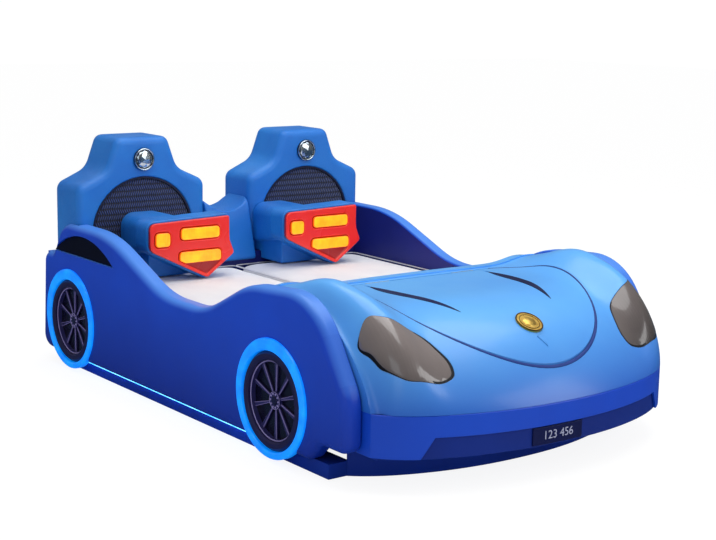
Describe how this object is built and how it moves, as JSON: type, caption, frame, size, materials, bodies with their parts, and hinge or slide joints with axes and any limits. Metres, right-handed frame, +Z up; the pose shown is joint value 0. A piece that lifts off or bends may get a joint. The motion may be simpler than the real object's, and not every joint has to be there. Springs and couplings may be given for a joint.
{
  "type": "children's car bed",
  "caption": "Children's sports-car bed for two, with mattresses on a slatted deck, lit wheel trims, seat-shaped headboards, lamp consoles and a toy box under the hinged bonnet lid.",
  "frame": {"origin": "on the floor, at the middle of the bed's length and width", "axes": "+Z up, -Y towards the nose of the bonnet, +Y towards the seats and the tail, +X to the right seen from the front"},
  "size_m": [1.694, 2.767, 1.09],
  "materials": {
    "bonnet_paint": "glossy moulded plastic, mid blue",
    "side_paint": "satin moulded plastic, royal blue",
    "lining": "matt moulded plastic, navy",
    "plinth_dark": "matt laminate, very dark navy",
    "light_cyan": "translucent light guide, cyan",
    "wheel_navy": "glossy plastic, dark navy",
    "tyre_navy": "satin plastic, dark navy",
    "seat_cover": "smooth synthetic leather, mid blue",
    "mesh": "open woven mesh, dark navy",
    "piping": "satin piping, near black navy",
    "mattress": "knitted cotton cover, white",
    "timber": "planed pine",
    "board": "birch plywood",
    "steel": "zinc plated",
    "lens": "smoked clear plastic",
    "gasket": "black rubber",
    "lamp_inside": "vacuum metallised plastic, dark",
    "lamp_red": "glossy plastic, red",
    "lamp_amber": "translucent plastic, amber",
    "gold": "polished gold colour",
    "silver": "bright chrome",
    "black_plastic": "matt black plastic",
    "circuit": "white circuit board",
    "tub": "matt moulded plastic, navy"
  },
  "bodies": {
    "bed": {"bonnet_shell": "bonnet_paint", "boot_deck": "side_paint", "centre_beam": "timber", "centre_legs": "timber", "cowl_strip": "bonnet_paint", "deck_slats": "timber", "foot_bulkhead": "lining", "front_bumper": "bonnet_paint", "front_floor": "board", "front_valance": "plinth_dark", "head_board": "board", "headlamp_bezels": "gasket", "headlamp_housings": "lamp_inside", "headlamp_lenses": "lens", "hinge_fixed_leaves": "steel", "hinge_pins": "steel", "lamp_console_left": "seat_cover", "lamp_console_right": "seat_cover", "lamp_fascia_left": "lamp_red", "lamp_fascia_right": "lamp_red", "lamp_lenses": "lamp_amber", "lid_seat": "lining", "light_controller": "black_plastic", "mattress_left": "mattress", "mattress_right": "mattress", "number_plate": "black_plastic", "plinth_front": "plinth_dark", "plinth_left": "plinth_dark", "plinth_rear": "plinth_dark", "plinth_right": "plinth_dark", "power_inlet": "black_plastic", "seat_back_left": "seat_cover", "seat_back_right": "seat_cover", "seat_badges": "silver", "seat_link": "seat_cover", "seat_mesh_trims": "piping", "seat_meshes": "mesh", "seat_shelf": "board", "side_liner_left": "lining", "side_liner_right": "lining", "side_panel_left": "side_paint", "side_panel_right": "side_paint", "side_rail_left": "timber", "side_rail_right": "timber", "slat_screws": "steel", "switch_collar": "silver", "tail_board": "board", "tail_panel": "side_paint", "toy_tub": "tub", "underglow_strips": "light_cyan", "wheel_hub_caps": "wheel_navy", "wheel_light_boards": "circuit", "wheel_light_rings": "light_cyan", "wheel_trims": "wheel_navy", "wheel_tyres": "tyre_navy"},
    "lid": {"bonnet_lid": "bonnet_paint", "bonnet_badge": "gold", "vent_inserts": "plinth_dark", "hinge_lid_leaves": "steel"},
    "button": {"light_button": "black_plastic"}
  },
  "joints": [
    {"name": "bonnet_lid_hinge", "type": "hinge", "parent": "bed", "child": "lid", "pos_m": [0, -0.481, 0.612], "axis": [-1, 0, 0], "range_deg": [0, 60]},
    {"name": "light_button_slide", "type": "slide", "parent": "bed", "child": "button", "axis": [-1, 0, 0], "range_m": [0, 0.003], "stiffness_N_per_m": 400, "springref_m": -0.003}
  ]
}
